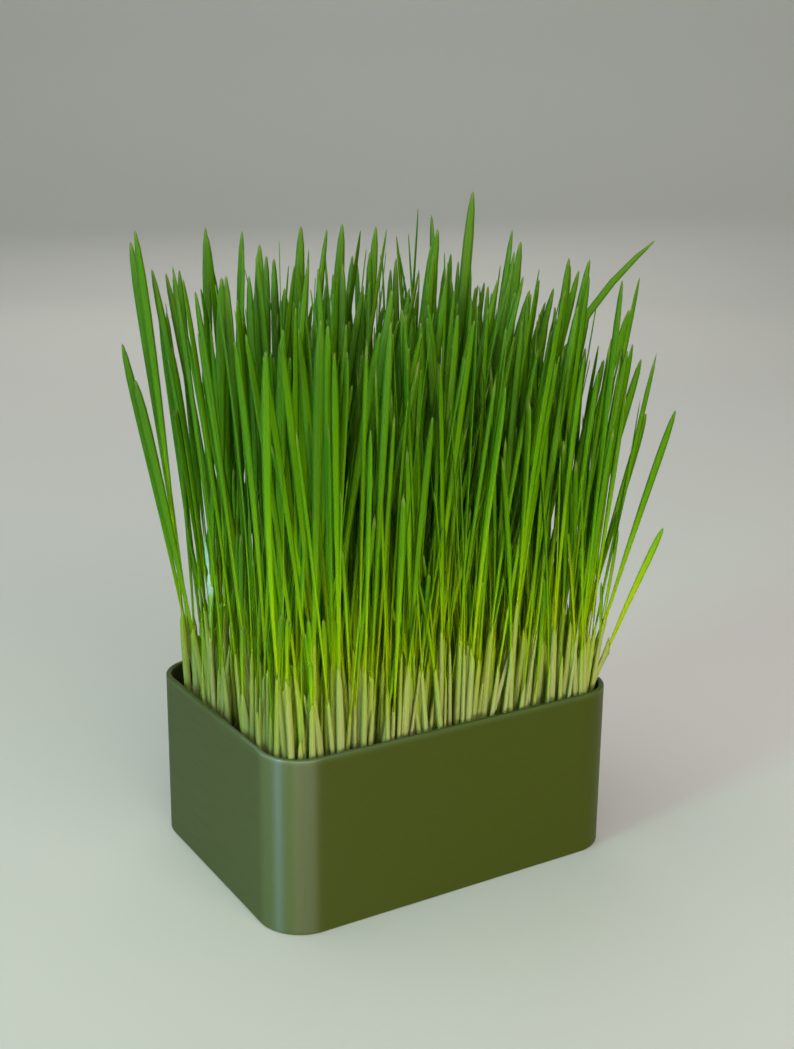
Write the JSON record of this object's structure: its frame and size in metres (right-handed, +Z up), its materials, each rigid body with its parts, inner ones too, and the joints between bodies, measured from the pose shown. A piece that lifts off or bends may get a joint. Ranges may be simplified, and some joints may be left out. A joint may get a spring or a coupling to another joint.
{
  "type": "wheatgrass tray",
  "caption": "Open rectangular planter with rounded corners, filled with growing medium and a dense turf of upright wheatgrass shoots.",
  "frame": {"origin": "centre of the tray's underside, on the surface that it stands on", "axes": "+Z up, +X along the tray's long side, +Y from the front long side to the back"},
  "size_m": [0.2165, 0.1403, 0.265],
  "materials": {
    "tray_plastic": "satin sage-olive plastic with a very fine grain",
    "growing_medium": "dark moist peat and coir crumbs, rough and dull",
    "wheatgrass": "fresh green leaf with fine lengthwise veins, pale yellow-white sheaths at the base"
  },
  "bodies": {
    "root": {"tray": "tray_plastic", "soil": "growing_medium", "wheatgrass_r1_c1": "wheatgrass", "wheatgrass_r1_c2": "wheatgrass", "wheatgrass_r1_c3": "wheatgrass", "wheatgrass_r1_c4": "wheatgrass", "wheatgrass_r1_c5": "wheatgrass", "wheatgrass_r1_c6": "wheatgrass", "wheatgrass_r1_c7": "wheatgrass", "wheatgrass_r2_c1": "wheatgrass", "wheatgrass_r2_c2": "wheatgrass", "wheatgrass_r2_c3": "wheatgrass", "wheatgrass_r2_c4": "wheatgrass", "wheatgrass_r2_c5": "wheatgrass", "wheatgrass_r2_c6": "wheatgrass", "wheatgrass_r2_c7": "wheatgrass", "wheatgrass_r3_c1": "wheatgrass", "wheatgrass_r3_c2": "wheatgrass", "wheatgrass_r3_c3": "wheatgrass", "wheatgrass_r3_c4": "wheatgrass", "wheatgrass_r3_c5": "wheatgrass", "wheatgrass_r3_c6": "wheatgrass", "wheatgrass_r3_c7": "wheatgrass", "wheatgrass_r4_c1": "wheatgrass", "wheatgrass_r4_c2": "wheatgrass", "wheatgrass_r4_c3": "wheatgrass", "wheatgrass_r4_c4": "wheatgrass", "wheatgrass_r4_c5": "wheatgrass", "wheatgrass_r4_c6": "wheatgrass", "wheatgrass_r4_c7": "wheatgrass", "wheatgrass_r5_c1": "wheatgrass", "wheatgrass_r5_c2": "wheatgrass", "wheatgrass_r5_c3": "wheatgrass", "wheatgrass_r5_c4": "wheatgrass", "wheatgrass_r5_c5": "wheatgrass", "wheatgrass_r5_c6": "wheatgrass", "wheatgrass_r5_c7": "wheatgrass"}
  },
  "joints": []
}
